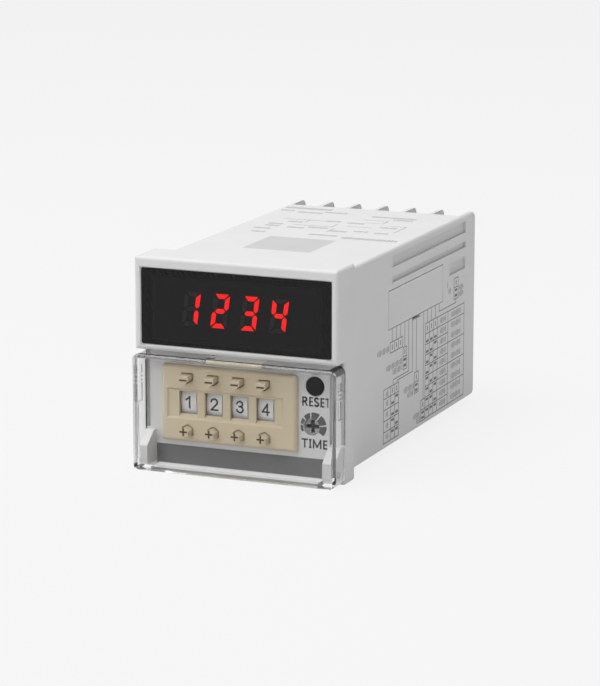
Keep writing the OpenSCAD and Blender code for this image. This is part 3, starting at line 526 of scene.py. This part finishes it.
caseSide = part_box("rear_case")[1].x
sidePrint = {  # places on the right side in millimetres: along the case, then up
    "line": 0.2, "mark": (1.65, 0.6), "number": (0.45, 1.2),
    "word": {"tall": 1.4, "pitch": 0.85, "stroke": 0.33},
    "leads": [[(26.8, 4.2), (26.8, 1.4)], [(29.5, 4.2), (29.5, 1.4)], [(32.15, 4.2), (32.15, 1.4)],
              [(34.8, 4.2), (34.8, -1.35)], [(37.3, 4.2), (37.3, -7.45), (27.6, -7.45), (27.6, -8.7)],
              [(39.8, 4.2), (39.8, -8.1), (30.0, -8.1), (30.0, -8.7)], [(42.4, 3.6), (42.4, -8.75)],
              [(47.1, 4.2), (47.1, -16.2)], [(49.65, 4.2), (49.65, 1.4)], [(52.2, 4.2), (52.2, 1.4)],
              [(55.0, 4.2), (55.0, 1.4)], [(57.5, 4.2), (57.5, 2.55), (68.9, 2.55), (68.9, 3.5)],
              [(63.2, 8.4), (63.2, 7.3)]],
    "boxes": [[(25.6, 28.2, 30.8, 33.45), (1.4, -1.0)], [(33.75, 36.1), (-1.35, -3.5, -6.5)],
              [(41.2, 43.8), (-8.75, -11.0, -13.65)], [(67.6, 70.5), (8.5, 6.3, 3.5)],
              [(45.6, 48.3), (-16.2, -18.6, -21.2)]],
    "boxMarks": [(34.9, -4.25), (34.9, -5.6), (42.5, -11.75), (42.5, -13.0), (69.05, 5.6), (69.05, 4.3),
                 (46.95, -19.3), (46.95, -20.5)],
    "words": [(17.4, 25.1, 0.2), (23.1, 33.3, -4.2), (27.0, 33.3, -5.7), (34.2, 40.8, -11.6),
              (36.4, 40.8, -13.1), (70.9, 74.3, 5.7), (70.9, 74.3, 4.2), (40.6, 45.0, -19.2),
              (42.6, 45.0, -20.6), (63.7, 65.6, 6.1)],
    "numbers": [(26.9, 0.2), (29.5, 0.2), (32.1, 0.2), (34.9, -2.4), (42.5, -9.9), (69.05, 7.4),
                (46.95, -17.4), (27.3, -9.8), (29.8, -9.8), (49.6, 0.15), (52.3, 0.15), (55.0, 0.15)],
}
smallTable = {"columns": [21.6, 26.0, 28.55, 31.1], "top": -8.7, "header": 2.15, "row": 2.55, "rows": 4,
              "high": [(0, 1), (0, 0), (1, 0), (1, 1)], "word": (22.9, 24.8), "wordDrop": 1.2}
largeTable = {"columns": [48.3, 50.95, 53.65, 56.4, 63.6, 74.9], "top": 1.4, "header": 2.5, "row": 2.49,
              "rows": 8, "wordShares": {3: 0.55, 4: 0.62}}  # a word's share of its column's width
markDrop = {True: 0.27, False: 0.73}  # of the row, for a mark in its upper half or its lower
shortStroke = {"every": 3, "share": 0.7}  # in a row of strokes


def addGrid(columns, levels, width):
    for x in columns:
        addStroke((x, levels[0]), (x, levels[-1]), width)
    for y in levels:
        addStroke((columns[0], y), (columns[-1], y), width)


def tableLevels(table):
    first = table["top"] - table["header"]
    return [table["top"]] + [first - table["row"] * row for row in range(table["rows"] + 1)]


def addMarks(table, columns, high):  # one mark in each cell, in its upper or lower half
    for row, level in enumerate(tableLevels(table)[1:-1]):
        for column in columns:
            middle = (table["columns"][column] + table["columns"][column + 1]) / 2
            addBar(middle, level - markDrop[bool(high(row, column))] * table["row"], *sidePrint["mark"])


def addWord(start, end, y, word):  # a row of short strokes where a word stands
    for count in range(max(1, round((end - start) / word["pitch"]))):
        tall = word["tall"] * (1 if count % shortStroke["every"] else shortStroke["share"])
        addBar(start + (count + 0.5) * word["pitch"], y, word["stroke"], tall)


sheet = startSheet("sideTables")
for lead in sidePrint["leads"]:
    addPath(lead, sidePrint["line"])
for columns, levels in sidePrint["boxes"]:
    addGrid(columns, levels, sidePrint["line"])
for x, y in sidePrint["boxMarks"]:
    addBar(x, y, *sidePrint["mark"])
addGrid(smallTable["columns"], tableLevels(smallTable), sidePrint["line"])
addMarks(smallTable, (1, 2), lambda row, column: smallTable["high"][row][column - 1])
levels = tableLevels(largeTable)
addGrid(largeTable["columns"][:-1], levels, sidePrint["line"])
addGrid(largeTable["columns"][-2:], [levels[0]] + levels[1::2], sidePrint["line"])
addMarks(largeTable, (0, 1, 2), lambda row, column: row >> (2 - column) & 1)  # the rows count up in binary
closeSheet(sheet, "right", (caseSide, 0, 0), "tableInk", "housing")

sheet = startSheet("sideWords")
for start, end, y in sidePrint["words"]:
    addWord(start, end, y, sidePrint["word"])
for level, below in zip(levels, levels[1:]):
    for column, share in largeTable["wordShares"].items():
        left, right = largeTable["columns"][column:column + 2]
        middle, reach = (left + right) / 2, share * (right - left) / 2
        addWord(middle - reach, middle + reach, (level + below) / 2, sidePrint["word"])
for level in tableLevels(smallTable)[:-1]:
    addWord(*smallTable["word"], level - smallTable["wordDrop"], sidePrint["word"])
for x, y in sidePrint["numbers"]:
    addBar(x, y, *sidePrint["number"])
closeSheet(sheet, "right", (caseSide, 0, 0), "wordInk", "housing")

grooves = {"sink": 0.6,  # each field from near to far along the case, then from low to high
           "fields": [(26.7, 75.5, 18.3, 21.0), (26.7, 75.5, 14.8, 16.3), (64.4, 75.5, 9.7, 12.6)]}
for face, side in (("right", 1), ("left", -1)):  # painted shade: a darker sheet on the grooves' floors, rougher than the walls
    sheet = startSheet(f"grooveFloors{face.title()}")
    for near, far, low, high in grooves["fields"]:
        addField(*sorted((side * near, side * far)), low, high)
    floorX = side * (caseSide - grooves["sink"] * mm)
    closeSheet(sheet, face, (floorX, 0, 0), "paintedGrooveShade", "housing")

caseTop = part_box("rear_case")[1].z
topLabel = {"left": -9.2, "right": 6.9, "front": 15.9, "back": 31.8}
sheet = startSheet("topLabel")
addField(topLabel["left"], topLabel["right"], topLabel["front"], topLabel["back"])
closeSheet(sheet, "top", (0, 0, caseTop), "labelFilm", "housing")

topPrint = {  # rows of words and a few lines of a plan, to the right and then along the case
    "line": 0.22,
    "word": {"tall": 1.6, "pitch": 0.72, "stroke": 0.36},
    "bold": {"tall": 2.2, "pitch": 0.85, "stroke": 0.45},
    "lines": [[(-15.6, 54.7), (-4.1, 54.7)], [(-8.9, 54.7), (-8.9, 51.4)],
              [(-10.5, 48.0), (-0.8, 48.0), (-0.8, 51.5)], [(2.2, 50.3), (8.3, 50.3)],
              [(2.5, 59.8), (8.8, 59.8), (8.8, 56.2), (4.7, 56.2)], [(0.6, 41.5), (0.6, 46.0)],
              [(11.6, 54.1), (15.45, 54.1), (15.45, 46.1)]],
    "words": [(-20.9, -17.2, 65.5), (-16.1, -9.9, 64.3), (-9.8, -4.4, 66.1), (2.6, 14.0, 64.6),
              (9.0, 13.9, 62.3), (-2.2, 5.3, 37.3), (-16.5, -12.6, 47.5), (-16.3, -12.4, 44.9),
              (-17.5, -13.0, 41.0), (-16.1, -12.5, 36.4), (-13.2, -9.4, 51.5), (-10.5, -6.3, 44.3),
              (-5.9, -0.8, 45.9), (0.6, 4.9, 43.2), (6.0, 9.3, 44.7), (11.2, 14.7, 44.1),
              (-4.9, -1.0, 55.1), (0.5, 4.7, 54.5), (9.8, 14.0, 51.5)],
    "titles": [(-21.2, -9.4, 69.4), (6.5, 20.3, 35.9)],
}
sheet = startSheet("topPrint")
for path in topPrint["lines"]:
    addPath(path, topPrint["line"])
for start, end, y in topPrint["words"]:
    addWord(start, end, y, topPrint["word"])
for start, end, y in topPrint["titles"]:
    addWord(start, end, y, topPrint["bold"])
closeSheet(sheet, "top", (0, 0, caseTop), "paleInk", "housing")
print("case prints laid")


def seenByEye(tree):  # straight, in a mirror or through glass
    path = addNode(tree, "ShaderNodeLightPath")
    mirrored = addNode(tree, "ShaderNodeMath", {"operation": "MAXIMUM"},
                       {0: path.outputs["Is Glossy Ray"], 1: path.outputs["Is Transmission Ray"]})
    seen = addNode(tree, "ShaderNodeMath", {"operation": "MAXIMUM"},
                   {0: path.outputs["Is Camera Ray"], 1: mirrored.outputs["Value"]})
    return seen.outputs["Value"]


studio = {"floor": -24.05, "size": 8.0, "paper": "#e9e9e9", "glow": "#f7f7f7", "shadow": 0.1,
          "backdrop": "#f6f6f6", "sky": 0.378}
material, tree = startMaterial("paperSweep")[:2]  # matt paper under the object, pale to the eye
paper = addNode(tree, "ShaderNodeBsdfDiffuse", {"Color": hexColour(studio["paper"])})
glow = addNode(tree, "ShaderNodeEmission", {"Color": hexColour(studio["glow"])})
shown = addNode(tree, "ShaderNodeMixShader", {0: 1 - studio["shadow"]},
                {1: paper.outputs["BSDF"], 2: glow.outputs["Emission"]})
both = addNode(tree, "ShaderNodeMixShader",
               links={0: seenByEye(tree), 1: paper.outputs["BSDF"], 2: shown.outputs["Shader"]})
closeMaterial(tree, both.outputs["Shader"])
freshStart()
bpy.ops.mesh.primitive_plane_add(size=studio["size"], location=(0, 0, studio["floor"] * mm))
floor = bpy.context.object
floor.name = "paperFloor"
floor.data.materials.append(material)

flags = [  # cards on the floor that darken the reflections in the clear pieces, in millimetres
    {"name": "blackFlag", "left": -85, "right": 75, "near": -19, "far": -128,
     "felt": "#161616", "mirrored": True},
    {"name": "greyFlag", "left": 25, "right": 140, "near": 120, "far": -16,
     "felt": "#6a6a6a", "mirrored": False},
]
felting = {"pile": 0.5, "bump": 0.3, "depth": 0.2, "lift": 0.1}  # lift above the paper
for flag in flags:
    material, tree, place = startMaterial(flag["name"] + "Felt")  # matt pile that swallows light
    pile = addNode(tree, "ShaderNodeTexNoise", {"Scale": 1 / (felting["pile"] * mm)}, {"Vector": place})
    bump = addNode(tree, "ShaderNodeBump", {"Strength": felting["bump"], "Distance": felting["depth"] * mm},
                   {"Height": pile.outputs["Fac"]})
    felt = addNode(tree, "ShaderNodeBsdfDiffuse", {"Color": hexColour(flag["felt"])},
                   {"Normal": bump.outputs["Normal"]})
    clear = addNode(tree, "ShaderNodeBsdfTransparent")
    path = addNode(tree, "ShaderNodeLightPath")  # shows after a mirroring face, and never from a matt one
    straight = addNode(tree, "ShaderNodeMath", {"operation": "LESS_THAN", 1: 0.5},
                       {0: path.outputs["Glossy Depth"]})
    unseen = addNode(tree, "ShaderNodeMath", {"operation": "MAXIMUM"},
                     {0: straight.outputs["Value"], 1: path.outputs["Diffuse Depth"]})
    both = addNode(tree, "ShaderNodeMixShader",
                   links={0: unseen.outputs["Value"], 1: felt.outputs["BSDF"], 2: clear.outputs["BSDF"]})
    closeMaterial(tree, both.outputs["Shader"])
    freshStart()
    middle = ((flag["left"] + flag["right"]) / 2, (flag["near"] + flag["far"]) / 2,
              studio["floor"] + felting["lift"])
    bpy.ops.mesh.primitive_plane_add(size=1, location=Vector(middle) * mm)
    card = bpy.context.object
    card.name = flag["name"]
    card.scale = ((flag["right"] - flag["left"]) * mm, (flag["near"] - flag["far"]) * mm, 1)
    bpy.ops.object.transform_apply(location=True, rotation=True, scale=True)
    card.data.materials.append(material)
    card.visible_camera = card.visible_diffuse = card.visible_shadow = False
    card.visible_glossy = flag["mirrored"]

world = bpy.data.worlds.new("studioSky")
bpy.context.scene.world = world
world.use_nodes = True
tree = world.node_tree
tree.nodes.clear()
light = addNode(tree, "ShaderNodeBackground", {"Color": hexColour("#ffffff"), "Strength": studio["sky"]})
backdrop = addNode(tree, "ShaderNodeBackground", {"Color": hexColour(studio["backdrop"])})
both = addNode(tree, "ShaderNodeMixShader",
               links={0: seenByEye(tree), 1: light.outputs["Background"], 2: backdrop.outputs["Background"]})
addNode(tree, "ShaderNodeOutputWorld", links={"Surface": both.outputs["Shader"]})

lamps = [  # metres and watts
    {"name": "topSoftbox", "place": (-0.25, -0.2, 0.9), "size": 0.9, "watts": 8.5},
    {"name": "frontFill", "place": (-0.6, -0.9, 0.35), "size": 0.8, "watts": 0.85},
]
aim = Vector((0, 0.035, 0))
for lamp in lamps:
    freshStart()
    turn = (aim - Vector(lamp["place"])).to_track_quat("-Z", "Y").to_euler()
    bpy.ops.object.light_add(type="AREA", location=lamp["place"], rotation=turn)
    light = bpy.context.object
    light.name = lamp["name"]
    light.data.size = lamp["size"]
    light.data.energy = lamp["watts"]
print("studio lit")

view = {"place": (256.03, -588.0, 143.32), "azimuth": 22.6, "elevation": 12.2046,  # millimetres and degrees
        "focal": 3000.29, "frame": 686, "sensor": 36, "clip": 10}  # focal length and frame height in pixels
azimuth, elevation = math.radians(view["azimuth"]), math.radians(view["elevation"])
sight = Vector((-math.sin(azimuth) * math.cos(elevation), math.cos(azimuth) * math.cos(elevation),
                -math.sin(elevation)))
bpy.ops.object.camera_add(location=Vector(view["place"]) * mm,
                          rotation=sight.to_track_quat("-Z", "Y").to_euler())
camera = bpy.context.object
camera.data.sensor_width = view["sensor"]
camera.data.lens = view["sensor"] * view["focal"] / view["frame"]
camera.data.clip_start = view["clip"] * mm
bpy.context.scene.camera = camera
bpy.context.scene.view_settings.view_transform = "Standard"

print("pieces placed, camera set")
